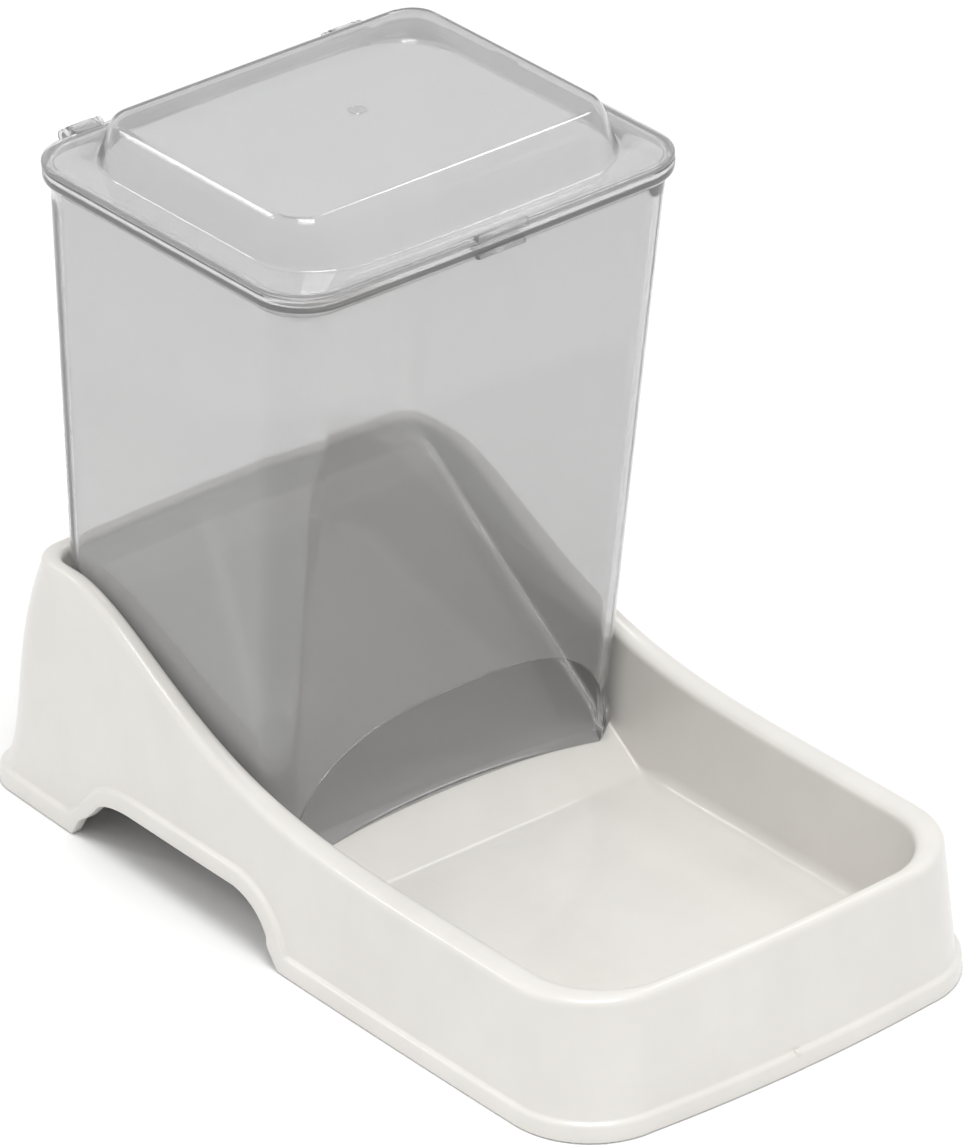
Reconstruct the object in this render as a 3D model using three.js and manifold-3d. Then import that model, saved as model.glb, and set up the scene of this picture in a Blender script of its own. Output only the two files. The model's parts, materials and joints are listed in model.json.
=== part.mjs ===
// Gravity pet feeder: a pearl base with a bowl and a cradle, a smoky hopper that drops into the cradle
// and feeds the bowl through an arch, and a domed lid that snaps onto hinge pins at the hopper's back.
// Millimetres. Z is up, the bowl is towards -Y, and the origin is under the middle of the base.
// Every shape is symmetrical about x = 0, and its y values count from the base's front edge.

import * as THREE from "three";
import { mergeVertices } from "three/addons/utils/BufferGeometryUtils.js";
import Module from "manifold-3d";

const wasm = await Module();
wasm.setup();

// ---- Driving dimensions ----

const LENGTH = 408;
const WIDTH = 231;
const HEIGHT = 330;

// How far a cutting shape runs past the faces that it cuts.
const PAST = 2;

// Base: a broad rounded rim runs round the top, low at the bowl and high behind the hopper.
const BASE_SKIN = 2.6;
const FLANGE_HEIGHT = 8;
const FLANGE_SLOPE = 1.5;
const FLANGE_DRAFT = 0.5;
const SOLE_WIDTH = 5.6;
const RIM_DEPTH = 4.5;
const RIM_POWER = 2.6;
const RIM_LOW = 62;
const RIM_HIGH = 121.6;
const RIM_RISE_START = 60;
const RIM_RISE_END = 345;
const RIM_RISE_SKEW = 2.5;
const UNDER_RIM = 9;
const RIM_TOP_SKIN = 3.6;
const WELL_FOOT_RAISE = 2;
const FLANGE = outlinePlan([0, LENGTH], [WIDTH / 2, 107.5], [40, 20.5], 3.4);
const WALL_FOOT = outlinePlan([3, 404.7], [112.6, 105], [38, 19.5], 3.2);
const RIM_OUTER = outlinePlan([7.5, 373.4], [110.4, 104.5], [42.4, 14.7], 1.5);
const RIM_INNER = outlinePlan([15, 364.2], [96.5, 97.3], [36, 10], 1.5);
const WELL = outlinePlan([20, 363.4], [93.5, 96.9], [30, 9.5], 1.5);
const REAR_LEAN = 20.8;
const REAR_LEAN_POWER = 2.6;
const REAR_FLARE = 10.5;
const REAR_FLARE_POWER = 6;
const FLOOR_HEIGHT = 12.5;
const BOWL_FILLET = 8;
const CRADLE_FILLET = 1.2;
const FILLET_FADE_START = 186;
const FILLET_FADE_LENGTH = 28;
const CUTOUT_DEPTH = 14;
const CUTOUT_BAND = 9;
const CUTOUT_BAND_TOP = 45;
const BAND_PROUD = 2.4;
const BAND_ROOT = 1;

// The slope that the hopper lies on, shared by the base and the hopper's ramp.
const SLOPE = 0.69;
const SLOPE_FOOT = 205.7;
const SLOPE_TOP_HEIGHT = 106;
const SEAT_GAP = 0.45;

// Hopper: a tapered tube with a sloping floor.
const HOPPER_SKIN = 2.2;
const RAMP_THICKNESS = 2.7;
const HOPPER_TOP = 307.5;
const HOPPER_MOUTH = 305;
const HOPPER_FOOT = 10;
const HOPPER_MOUTH_PLAN = outlinePlan([190.8, 365.6], [104.3, 104.3], [21, 22], 1);
const SIDE_DRAFT = 0.042;
const FRONT_DRAFT = 0.105;
const REAR_DRAFT = 0.02;
const FRONT_CORNER_DRAFT = 0.025;
const REAR_CORNER_DRAFT = 0.045;
const RIM_FLARE = 3.2;
const RIM_SKIN = 2.6;
const RIM_FLARE_START = 299.5;
const RIM_FLARE_END = 303;
const RIM_STEP_START = 302;
const RIM_STEP_END = 304.5;
const ARCH_HALF = 84.5;
const ARCH_FOOT = 30;
const ARCH_RISE = 57;
const ARCH_POWER = 2.6;
const TONGUE_EDGE = 229;
const TONGUE_SWEEP = 4.2;
const FOOT_BEAD = { x: 88, y: 224.8, z: 33, radius: 4.5, height: 9 };
const CATCH_HALF = 12.5;
const CATCH_HEIGHT = 2.6;
const CATCH_PROUD = 1.4;
const CATCH_ROOT = 1.6;
const RIM_FACE_MARGIN = 0.2;

// Lid: a thin plate with a locating skirt below and a dome above.
const LID_SKIN = 2;
const LID_SEAT = HOPPER_TOP + 0.3;
const LID_LEDGE = LID_SEAT + LID_SKIN;
const LID_EDGE = outlinePlan([187.6, 368.9], [107.5, 107.5], [24.5, 24.5], 1);
const LID_EDGE_BEVEL = 0.6;
const DOME_FOOT = outlinePlan([199, 358.5], [93, 93], [34, 36], 1);
const DOME_TOP = outlinePlan([217.5, 339.5], [82.5, 82.5], [12, 10], 0);
const DOME_FILLET = 0.12;
const DOME_SHOULDER = 0.5;
const SKIRT_DEPTH = 2.6;
const SKIRT_SKIN = 1.8;
const TAB_HALF = 13.5;
const TAB_HEIGHT = 4.8;
const TAB_PROUD = 1.8;
const TAB_ROOT = 2;

// Hinge: two pins behind the hopper's rim, each between two ears.
const HINGE = { x: 70, y: 372.5, z: 307.1 };
const PIN_RADIUS = 1.6;
const PIN_CLEARANCE = 0.2;
const SNAP_INTERFERENCE = 0.2;
const KNUCKLE_RADIUS = 3.4;
const KNUCKLE_WIDTH = 13;
const EAR_RADIUS = 3.2;
const EAR_THICKNESS = 2;
const EAR_CENTRE = 9;
const EAR_WEB = { root: 1.6, foot: 1.8, reach: 2.4, drop: 2.1 };
const ARM_ROOT = 2.3;
const ARM_RAISE = 2.2;

// Mesh resolution.
const EDGE_FRACTIONS = [0.03, 0.55];
const CORNER_STEPS = 6;
const SIDE_STEPS = { base: 24, straight: 3 };
const WALL_FRACTIONS = [0, 0.15, 0.3, 0.5, 0.7, 0.86];

// ---- Outlines and lofts ----

// A rounded rectangle: where its front and rear edges lie, half its width at the front and the rear, its
// corner radii, and how far the front and rear edges bow out at the middle.
function outlinePlan([front, rear], [half, halfRear], [frontRadius, rearRadius], bow) {
  return { front, rear, half, halfRear, frontRadius, rearRadius, bow };
}

const mix = (a, b, t) => a + (b - a) * t;

const smoothstep = (t) => {
  const u = Math.min(Math.max(t, 0), 1);
  return u * u * (3 - 2 * u);
};

function grow(plan, distance) {
  return {
    front: plan.front - distance,
    rear: plan.rear + distance,
    half: plan.half + distance,
    halfRear: plan.halfRear + distance,
    frontRadius: plan.frontRadius + distance,
    rearRadius: plan.rearRadius + distance,
    bow: plan.bow,
  };
}

function mixPlans(a, b, t) {
  const keys = Object.keys(a);
  return Object.fromEntries(keys.map((key) => [key, mix(a[key], b[key], t)]));
}

// A point on the upper half of a superellipse one unit in radius. A power of 2 makes a circle.
function superellipse(angle, power) {
  const across = Math.sign(Math.cos(angle)) * Math.abs(Math.cos(angle)) ** (2 / power);
  return { across, up: Math.abs(Math.sin(angle)) ** (2 / power) };
}

// The right half of a rounded outline, from the front centre round to the rear centre.
// Each point carries its outward normal.
function halfOutline(plan, sideSteps) {
  const points = [];
  const frontStraight = plan.half - plan.frontRadius;
  const rearStraight = plan.halfRear - plan.rearRadius;
  const frontCorner = plan.front + plan.bow + plan.frontRadius;
  const rearCorner = plan.rear - plan.bow - plan.rearRadius;
  for (const t of EDGE_FRACTIONS) {
    points.push({ x: frontStraight * t, y: plan.front + plan.bow * t * t, nx: 0, ny: -1 });
  }
  for (let i = 0; i <= CORNER_STEPS; i++) {
    const angle = (-Math.PI / 2) * (1 - i / CORNER_STEPS);
    const nx = Math.cos(angle);
    const ny = Math.sin(angle);
    points.push({ x: frontStraight + plan.frontRadius * nx, y: frontCorner + plan.frontRadius * ny, nx, ny });
  }
  for (let i = 1; i < sideSteps; i++) {
    const t = i / sideSteps;
    const x = mix(plan.half, plan.halfRear, t * t);
    points.push({ x, y: mix(frontCorner, rearCorner, t), nx: 1, ny: 0 });
  }
  for (let i = 0; i <= CORNER_STEPS; i++) {
    const angle = (Math.PI / 2) * (i / CORNER_STEPS);
    const nx = Math.cos(angle);
    const ny = Math.sin(angle);
    points.push({ x: rearStraight + plan.rearRadius * nx, y: rearCorner + plan.rearRadius * ny, nx, ny });
  }
  for (const t of EDGE_FRACTIONS.slice().reverse()) {
    points.push({ x: rearStraight * t, y: plan.rear - plan.bow * t * t, nx: 0, ny: 1 });
  }
  return points;
}

// A half ring in space: the outline at a height that may vary with y, pushed out along its normals.
function ring(plan, height, sideSteps, push = () => 0) {
  const heightAt = typeof height === "function" ? height : () => height;
  return halfOutline(plan, sideSteps).map((point) => {
    const distance = push(point.y);
    const x = point.x + point.nx * distance;
    const y = point.y + point.ny * distance;
    return new THREE.Vector3(x, y, heightAt(y));
  });
}

// Joins half rings and their mirror images into one closed skin. The first ring is capped facing down
// and the last facing up, each with a ladder of strips across x.
function loft(rings) {
  const count = rings[0].length;
  const loop = 2 * count;
  const positions = [];
  for (const half of rings) {
    for (const p of half) positions.push(p.x, p.y, p.z);
    for (const p of half.slice().reverse()) positions.push(-p.x, p.y, p.z);
  }
  const index = [];
  for (let k = 0; k + 1 < rings.length; k++) {
    for (let i = 0; i < loop; i++) {
      const a = k * loop + i;
      const b = k * loop + ((i + 1) % loop);
      index.push(a, b, b + loop, a, b + loop, a + loop);
    }
  }
  const top = (rings.length - 1) * loop;
  for (let i = 0; i + 1 < count; i++) {
    const mirror = loop - 1 - i;
    index.push(i, mirror, mirror - 1, i, mirror - 1, i + 1);
    index.push(top + i, top + i + 1, top + mirror - 1, top + i, top + mirror - 1, top + mirror);
  }
  const geometry = new THREE.BufferGeometry();
  geometry.setAttribute("position", new THREE.Float32BufferAttribute(positions, 3));
  geometry.setIndex(index);
  return geometry;
}

// ---- Solids ----

function toSolid(geometry) {
  const bare = geometry.clone();
  bare.deleteAttribute("normal");
  bare.deleteAttribute("uv");
  const merged = mergeVertices(bare);
  const vertProperties = new Float32Array(merged.attributes.position.array);
  const triVerts = new Uint32Array(merged.index.array);
  return new wasm.Manifold(new wasm.Mesh({ numProp: 3, vertProperties, triVerts }));
}

function toGeometry(solid) {
  const mesh = solid.getMesh();
  const geometry = new THREE.BufferGeometry();
  geometry.setAttribute("position", new THREE.BufferAttribute(mesh.vertProperties, 3));
  geometry.setIndex(new THREE.BufferAttribute(mesh.triVerts, 1));
  geometry.computeVertexNormals();
  return geometry;
}

function box(xRange, yRange, zRange) {
  const size = [xRange, yRange, zRange].map(([low, high]) => high - low);
  const middle = [xRange, yRange, zRange].map(([low, high]) => (low + high) / 2);
  return toSolid(new THREE.BoxGeometry(...size).translate(...middle));
}

// A shape drawn in the YZ plane, extruded along X from x = from to x = to.
function alongX(shape, from, to) {
  const options = { depth: to - from, bevelEnabled: false, curveSegments: 8 };
  const geometry = new THREE.ExtrudeGeometry(shape, options);
  const axes = new THREE.Matrix4().makeBasis(
    new THREE.Vector3(0, 1, 0),
    new THREE.Vector3(0, 0, 1),
    new THREE.Vector3(1, 0, 0),
  );
  return toSolid(geometry.applyMatrix4(axes).translate(from, 0, 0));
}

// A shape drawn in the XZ plane, extruded along Y from y = from to y = to.
function alongY(shape, from, to) {
  const geometry = new THREE.ExtrudeGeometry(shape, { depth: to - from, bevelEnabled: false });
  return toSolid(geometry.rotateX(Math.PI / 2).translate(0, to, 0));
}

function rodAlongX(radius, x, y, z, length) {
  const rod = new THREE.CylinderGeometry(radius, radius, length, 16);
  return toSolid(rod.rotateZ(Math.PI / 2).translate(x, y, z));
}

function onBothSides(make) {
  return make(1).add(make(-1));
}

// ---- Base ----

const rimHeight = (y) => {
  const along = Math.min(Math.max((y - RIM_RISE_START) / (RIM_RISE_END - RIM_RISE_START), 0), 1);
  return mix(RIM_LOW, RIM_HIGH, smoothstep(along ** RIM_RISE_SKEW));
};

const slopeHeight = (y) => FLOOR_HEIGHT + SLOPE * (y - SLOPE_FOOT);
const floorHeight = (y) => Math.min(Math.max(slopeHeight(y), FLOOR_HEIGHT), SLOPE_TOP_HEIGHT);

const filletSize = (y) => {
  const faded = smoothstep((y - FILLET_FADE_START) / FILLET_FADE_LENGTH);
  return mix(BOWL_FILLET, CRADLE_FILLET, faded);
};

// The outer wall at a fraction of its height. The back bulges out below the rim and flares at its foot.
function wallPlan(fraction) {
  const plan = mixPlans(WALL_FOOT, RIM_OUTER, fraction);
  const lean = REAR_LEAN * (1 - fraction ** REAR_LEAN_POWER);
  const flare = REAR_FLARE * (1 - fraction) ** REAR_FLARE_POWER;
  plan.rear = RIM_OUTER.rear + lean + flare;
  return plan;
}

function wallRing(fraction, inset) {
  const foot = FLANGE_HEIGHT + FLANGE_SLOPE;
  const height = (y) => mix(foot, rimHeight(y) - RIM_DEPTH, fraction);
  return ring(grow(wallPlan(fraction), -inset), height, SIDE_STEPS.base);
}

// A finger cut-out in the side's lower edge: steep at its ends and arched between them.
function cutoutShape() {
  const shape = new THREE.Shape();
  shape.moveTo(194.8, -PAST);
  shape.lineTo(206, 12);
  shape.quadraticCurveTo(216, 25.4, 232, 26.8);
  shape.lineTo(306, 26.4);
  shape.quadraticCurveTo(322, 25.5, 326.5, 20.5);
  shape.lineTo(340.5, -PAST);
  return shape;
}

// The same curve moved outwards along its normals.
function widerShape(shape, distance) {
  const points = shape.getPoints(8);
  const moved = points.map((point, i) => {
    const before = points[Math.max(i - 1, 0)];
    const after = points[Math.min(i + 1, points.length - 1)];
    const along = after.clone().sub(before).normalize();
    return new THREE.Vector2(point.x - along.y * distance, point.y + along.x * distance);
  });
  return new THREE.Shape(moved);
}

// The proud band that borders each cut-out and runs into the flange.
function cutoutBand() {
  const steps = SIDE_STEPS.base;
  const foot = FLANGE_HEIGHT + FLANGE_SLOPE;
  const fraction = (CUTOUT_BAND_TOP - foot) / (RIM_LOW - RIM_DEPTH - foot);
  const topPlan = wallPlan(fraction);
  const outer = toSolid(loft([
    ring(FLANGE, 0, steps),
    ring(grow(WALL_FOOT, BAND_PROUD), foot, steps),
    ring(grow(topPlan, BAND_PROUD), CUTOUT_BAND_TOP, steps),
  ]));
  const inner = toSolid(loft([
    ring(grow(WALL_FOOT, -BAND_ROOT), -PAST, steps),
    ring(grow(WALL_FOOT, -BAND_ROOT), foot, steps),
    ring(grow(topPlan, -BAND_ROOT), CUTOUT_BAND_TOP + PAST, steps),
  ]));
  const border = widerShape(cutoutShape(), CUTOUT_BAND);
  return outer.subtract(inner).intersect(throughBothSides(border, WIDTH / 2 - 2 * CUTOUT_DEPTH));
}

// Solids of one shape that reach from a distance off the middle out past both sides.
function throughBothSides(shape, from) {
  const beyond = WIDTH / 2 + CUTOUT_DEPTH;
  return alongX(shape, from, beyond).add(alongX(shape, -beyond, -from));
}

function baseGeometry() {
  const steps = SIDE_STEPS.base;
  const rimMiddle = mixPlans(RIM_INNER, RIM_OUTER, 0.5);
  const underRim = (y) => rimHeight(y) - UNDER_RIM;
  const rings = [
    ring(WELL, (y) => floorHeight(y) - BASE_SKIN, steps, (y) => -filletSize(y)),
    ring(grow(WELL, BASE_SKIN), (y) => floorHeight(y) + WELL_FOOT_RAISE, steps),
    ring(grow(RIM_INNER, BASE_SKIN), underRim, steps),
    ring(rimMiddle, (y) => rimHeight(y) - RIM_TOP_SKIN, steps),
    ring(grow(RIM_OUTER, -BASE_SKIN), underRim, steps),
    ...WALL_FRACTIONS.slice().reverse().map((fraction) => wallRing(fraction, BASE_SKIN)),
    ring(grow(FLANGE, -SOLE_WIDTH), 0, steps),
    ring(FLANGE, 0, steps),
    ring(grow(FLANGE, -FLANGE_DRAFT), FLANGE_HEIGHT, steps),
    ...WALL_FRACTIONS.map((fraction) => wallRing(fraction, 0)),
  ];
  const rimSteps = 8;
  for (let i = 0; i <= rimSteps; i++) {
    const { across, up } = superellipse((Math.PI * i) / rimSteps, RIM_POWER);
    const plan = mixPlans(RIM_INNER, RIM_OUTER, 0.5 + 0.5 * across);
    rings.push(ring(plan, (y) => rimHeight(y) - RIM_DEPTH * (1 - up), steps));
  }
  const filletSteps = 4;
  for (let i = 0; i <= filletSteps; i++) {
    const angle = ((Math.PI / 2) * i) / filletSteps;
    const height = (y) => floorHeight(y) + filletSize(y) * (1 - Math.sin(angle));
    rings.push(ring(WELL, height, steps, (y) => -filletSize(y) * (1 - Math.cos(angle))));
  }
  const cutouts = throughBothSides(cutoutShape(), WIDTH / 2 - CUTOUT_DEPTH);
  return toGeometry(toSolid(loft(rings)).add(cutoutBand()).subtract(cutouts));
}

// ---- Hopper ----

function hopperPlan(z, skin = 0) {
  const below = HOPPER_MOUTH - z;
  return grow({
    front: HOPPER_MOUTH_PLAN.front + below * FRONT_DRAFT,
    rear: HOPPER_MOUTH_PLAN.rear - below * REAR_DRAFT,
    half: HOPPER_MOUTH_PLAN.half - below * SIDE_DRAFT,
    halfRear: HOPPER_MOUTH_PLAN.halfRear - below * SIDE_DRAFT,
    frontRadius: HOPPER_MOUTH_PLAN.frontRadius - below * FRONT_CORNER_DRAFT,
    rearRadius: HOPPER_MOUTH_PLAN.rearRadius - below * REAR_CORNER_DRAFT,
    bow: HOPPER_MOUTH_PLAN.bow,
  }, -skin);
}

// Everything below a plane parallel to the base's slope, raised by a height.
function belowSlope(raise) {
  const shape = new THREE.Shape();
  const front = HOPPER_MOUTH_PLAN.front - PAST;
  const rear = LENGTH;
  shape.moveTo(front, -FLOOR_HEIGHT);
  shape.lineTo(rear, -FLOOR_HEIGHT);
  shape.lineTo(rear, slopeHeight(rear) + raise);
  shape.lineTo(front, slopeHeight(front) + raise);
  shape.closePath();
  return alongX(shape, -WIDTH / 2, WIDTH / 2);
}

// The arch in the front wall, stopped at the tongue's edge so that the ramp reaches out below it.
function archCutter() {
  const arch = new THREE.Shape();
  const steps = 24;
  arch.moveTo(ARCH_HALF, 0);
  for (let i = 0; i <= steps; i++) {
    const { across, up } = superellipse((Math.PI * i) / steps, ARCH_POWER);
    arch.lineTo(ARCH_HALF * across, ARCH_FOOT + ARCH_RISE * up);
  }
  arch.lineTo(-ARCH_HALF, 0);
  arch.closePath();
  const mouth = new THREE.Shape();
  const mouthHalf = ARCH_HALF + PAST;
  const inFront = HOPPER_MOUTH_PLAN.front - PAST;
  const tongueSteps = 10;
  mouth.moveTo(-mouthHalf, inFront);
  mouth.lineTo(mouthHalf, inFront);
  for (let i = 0; i <= tongueSteps; i++) {
    const t = 1 - (2 * i) / tongueSteps;
    mouth.lineTo(mouthHalf * t, TONGUE_EDGE - TONGUE_SWEEP * t * t);
  }
  mouth.closePath();
  const depth = ARCH_FOOT + ARCH_RISE + PAST;
  const column = toSolid(new THREE.ExtrudeGeometry(mouth, { depth, bevelEnabled: false }));
  return alongY(arch, inFront - PAST, TONGUE_EDGE + PAST).intersect(column);
}

// A swelling at the foot of each front corner that centres the hopper in the cradle.
function footBead(side) {
  const { x, y, z, radius, height } = FOOT_BEAD;
  const bead = new THREE.SphereGeometry(1, 14, 8);
  return toSolid(bead.scale(radius, radius, height).translate(side * x, y, z));
}

function catchLug() {
  const front = HOPPER_MOUTH_PLAN.front - RIM_FLARE;
  const top = RIM_FLARE_END - RIM_FACE_MARGIN;
  return box([-CATCH_HALF, CATCH_HALF], [front - CATCH_PROUD, front + CATCH_ROOT], [top - CATCH_HEIGHT, top]);
}

// A round ear on a web that grows out of the hopper's rim.
function hingeEar(x) {
  const web = new THREE.Shape();
  const root = HOPPER_MOUTH_PLAN.rear + EAR_WEB.root;
  const foot = RIM_FLARE_END - RIM_FACE_MARGIN;
  web.moveTo(root, foot);
  web.lineTo(root + EAR_WEB.foot, foot);
  web.lineTo(HINGE.y + EAR_WEB.reach, HINGE.z - EAR_WEB.drop);
  web.lineTo(root, HOPPER_TOP - RIM_FACE_MARGIN);
  web.closePath();
  const round = rodAlongX(EAR_RADIUS, x, HINGE.y, HINGE.z, EAR_THICKNESS);
  return alongX(web, x - EAR_THICKNESS / 2, x + EAR_THICKNESS / 2).add(round);
}

function hopperHinge(side) {
  const x = side * HINGE.x;
  const pin = rodAlongX(PIN_RADIUS, x, HINGE.y, HINGE.z, 2 * EAR_CENTRE);
  return pin.add(hingeEar(x - EAR_CENTRE)).add(hingeEar(x + EAR_CENTRE));
}

function hopperGeometry() {
  const steps = SIDE_STEPS.straight;
  const rimPlan = grow(HOPPER_MOUTH_PLAN, RIM_FLARE);
  const outer = toSolid(loft([
    ring(hopperPlan(HOPPER_FOOT), HOPPER_FOOT, steps),
    ring(hopperPlan(RIM_FLARE_START), RIM_FLARE_START, steps),
    ring(rimPlan, RIM_FLARE_END, steps),
    ring(rimPlan, HOPPER_TOP, steps),
  ]));
  const inner = toSolid(loft([
    ring(hopperPlan(HOPPER_FOOT - PAST, HOPPER_SKIN), HOPPER_FOOT - PAST, steps),
    ring(hopperPlan(RIM_STEP_START, HOPPER_SKIN), RIM_STEP_START, steps),
    ring(grow(rimPlan, -RIM_SKIN), RIM_STEP_END, steps),
    ring(grow(rimPlan, -RIM_SKIN), HOPPER_TOP + PAST, steps),
  ]));
  const body = outer.add(onBothSides(footBead)).subtract(belowSlope(SEAT_GAP));
  const cavity = inner.subtract(belowSlope(SEAT_GAP + RAMP_THICKNESS));
  const hinges = onBothSides(hopperHinge);
  return toGeometry(body.add(catchLug()).add(hinges).subtract(cavity).subtract(archCutter()));
}

// ---- Lid ----

// How far up the dome's wall is: straight between a small fillet at its foot and a broad shoulder.
function domeRise(t) {
  const steepest = 2 / (2 - DOME_FILLET - DOME_SHOULDER);
  if (t < DOME_FILLET) return (steepest * t * t) / (2 * DOME_FILLET);
  if (t < 1 - DOME_SHOULDER) return steepest * (t - DOME_FILLET / 2);
  return 1 - (steepest * (1 - t) * (1 - t)) / (2 * DOME_SHOULDER);
}

function domeRing(t, skin) {
  const plan = grow(mixPlans(DOME_FOOT, DOME_TOP, t), -skin * (1 - t / 2));
  return ring(plan, mix(LID_LEDGE, HEIGHT, domeRise(t)) - skin, SIDE_STEPS.straight);
}

function lidKnuckle(side) {
  const x = side * HINGE.x;
  const halfWidth = KNUCKLE_WIDTH / 2;
  const round = rodAlongX(KNUCKLE_RADIUS, x, HINGE.y, HINGE.z, KNUCKLE_WIDTH);
  const root = LID_EDGE.rear - ARM_ROOT;
  const arm = box([x - halfWidth, x + halfWidth], [root, HINGE.y], [LID_SEAT, HINGE.z + ARM_RAISE]);
  return round.add(arm);
}

// The pin's bore, with a slot narrower than the pin for it to snap through.
function knuckleBore(side) {
  const x = side * HINGE.x;
  const reach = KNUCKLE_WIDTH / 2 + PAST;
  const bore = rodAlongX(PIN_RADIUS + PIN_CLEARANCE, x, HINGE.y, HINGE.z, 2 * reach);
  const slotHalf = PIN_RADIUS - SNAP_INTERFERENCE;
  const below = HINGE.z - KNUCKLE_RADIUS - PAST;
  const slot = box([x - reach, x + reach], [HINGE.y - slotHalf, HINGE.y + slotHalf], [below, HINGE.z]);
  return bore.add(slot);
}

function lidGeometry() {
  const steps = SIDE_STEPS.straight;
  const domeSteps = 8;
  const skirt = HOPPER_MOUTH_PLAN;
  const rings = [];
  for (let i = domeSteps; i >= 0; i--) rings.push(domeRing(i / domeSteps, LID_SKIN));
  rings.push(
    ring(grow(skirt, -SKIRT_SKIN), LID_SEAT, steps),
    ring(grow(skirt, -SKIRT_SKIN), LID_SEAT - SKIRT_DEPTH, steps),
    ring(skirt, LID_SEAT - SKIRT_DEPTH, steps),
    ring(skirt, LID_SEAT, steps),
    ring(LID_EDGE, LID_SEAT, steps),
    ring(LID_EDGE, LID_LEDGE - LID_EDGE_BEVEL, steps),
    ring(grow(LID_EDGE, -LID_EDGE_BEVEL), LID_LEDGE, steps),
  );
  for (let i = 0; i <= domeSteps; i++) rings.push(domeRing(i / domeSteps, 0));
  const tabDepth = [LID_EDGE.front - TAB_PROUD, LID_EDGE.front + TAB_ROOT];
  const tab = box([-TAB_HALF, TAB_HALF], tabDepth, [LID_SEAT, LID_SEAT + TAB_HEIGHT]);
  const body = toSolid(loft(rings)).add(tab).add(onBothSides(lidKnuckle));
  return toGeometry(body.subtract(onBothSides(knuckleBore)));
}

// ---- Assembly ----

function namedMesh(name, geometry, colour, roughness) {
  const material = new THREE.MeshStandardMaterial({ color: colour, roughness, metalness: 0 });
  const mesh = new THREE.Mesh(geometry, material);
  mesh.name = name;
  return mesh;
}

const smokyPlastic = (name, geometry) => {
  const mesh = namedMesh(name, geometry, 0xb4b4b6, 0.22);
  mesh.material.transparent = true;
  mesh.material.opacity = 0.35;
  return mesh;
};

const assembly = new THREE.Group();
assembly.position.y = -LENGTH / 2;
assembly.add(
  namedMesh("base", baseGeometry(), 0xe3e0da, 0.4),
  smokyPlastic("hopper", hopperGeometry()),
  smokyPlastic("lid", lidGeometry()),
);

const feeder = new THREE.Group();
feeder.add(assembly);

export default feeder;
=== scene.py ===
import json
import math

import bmesh
import bpy
import numpy as np
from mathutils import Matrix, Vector


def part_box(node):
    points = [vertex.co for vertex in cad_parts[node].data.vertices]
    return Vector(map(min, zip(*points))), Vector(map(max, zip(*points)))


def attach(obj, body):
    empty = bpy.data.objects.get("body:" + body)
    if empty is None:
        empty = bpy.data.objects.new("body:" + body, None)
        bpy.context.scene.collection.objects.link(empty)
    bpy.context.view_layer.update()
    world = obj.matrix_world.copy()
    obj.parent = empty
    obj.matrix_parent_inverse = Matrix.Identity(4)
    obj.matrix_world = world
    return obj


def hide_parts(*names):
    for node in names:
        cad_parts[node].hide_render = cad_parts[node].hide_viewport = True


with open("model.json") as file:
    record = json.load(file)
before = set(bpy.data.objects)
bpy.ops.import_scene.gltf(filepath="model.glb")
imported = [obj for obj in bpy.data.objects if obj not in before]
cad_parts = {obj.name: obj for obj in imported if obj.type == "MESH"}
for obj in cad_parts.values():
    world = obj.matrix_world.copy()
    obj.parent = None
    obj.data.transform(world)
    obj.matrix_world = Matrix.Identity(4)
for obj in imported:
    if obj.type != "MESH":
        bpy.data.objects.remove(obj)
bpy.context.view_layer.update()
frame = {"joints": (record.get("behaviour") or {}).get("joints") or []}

# A smoky gravity feeder in a pearl base. Shapes are worked out in millimetres, with y counted from the
# base's front edge. The three shells are halves for x >= 0 that are mirrored. Millimetres turn into the
# frame's metres only when a mesh is made.

MM = 0.001
base_low, base_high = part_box("base")
_, hopper_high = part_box("hopper")
_, lid_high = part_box("lid")

LENGTH = (base_high.y - base_low.y) / MM
WIDTH = (base_high.x - base_low.x) / MM
HEIGHT = lid_high.z / MM
RIM_HIGH = base_high.z / MM
LID_HALF = lid_high.x / MM
HOPPER_RIM_HALF = hopper_high.x / MM
HINGE_JOINT = next(joint for joint in frame["joints"] if joint["type"] == "hinge")
HINGE_Y = HINGE_JOINT["pos_m"][1] / MM + LENGTH / 2
HINGE_Z = HINGE_JOINT["pos_m"][2] / MM
HINGE = (HINGE_Y, HINGE_Z)

# Base
SKIN = 2.6
FLANGE_HEIGHT = 9.5
PROUD = 2.3
RIM_DEPTH = 4.5
RIM_POWER = 2.6
RIM_LOW = 62.0
RIM_RISE = (60.0, 345.0)
RIM_SKEW = 2.5
FLOOR = 12.5
SLOPE = 0.69
SLOPE_FOOT = 205.7
SLOPE_TOP = 106.0
FLOOR_BEND = 1.6
BEND_REACH = 8.0
BEND_DROP = 0.02
BOWL_FILLET = 8.0
CRADLE_FILLET = 1.2
FILLET_CHANGE = 186.0
FILLET_CHANGE_LENGTH = 28.0
FLOOR_MARGIN = 2.0
REAR_LEAN = 20.8
REAR_LEAN_POWER = 2.6
REAR_FLARE = 10.5
REAR_FLARE_POWER = 6

# The base's underside: its depth under the rim, its rise at the foot of the well, and the crease where it
# turns down behind the flange.
UNDER_RIM = 9.0
UNDER_RIM_SKIN = 1.0
WELL_FOOT_RAISE = 2.0
CREASE = 10.0
CREASE_FOOT = 9.0
CREASE_INSET = 0.5

# The band along the base's lower edge, and the stretch of rim over the finger cut-out.
STEP_TOP = 10.2
STEP_INSET = 0.6
FLANGE_DRAFT = 0.06
BAND_TOP = 8.5
BAND_TOP_BLEND = 4.0
CUT_FRONT = 200.0
CUT_REAR = 337.0

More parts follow.
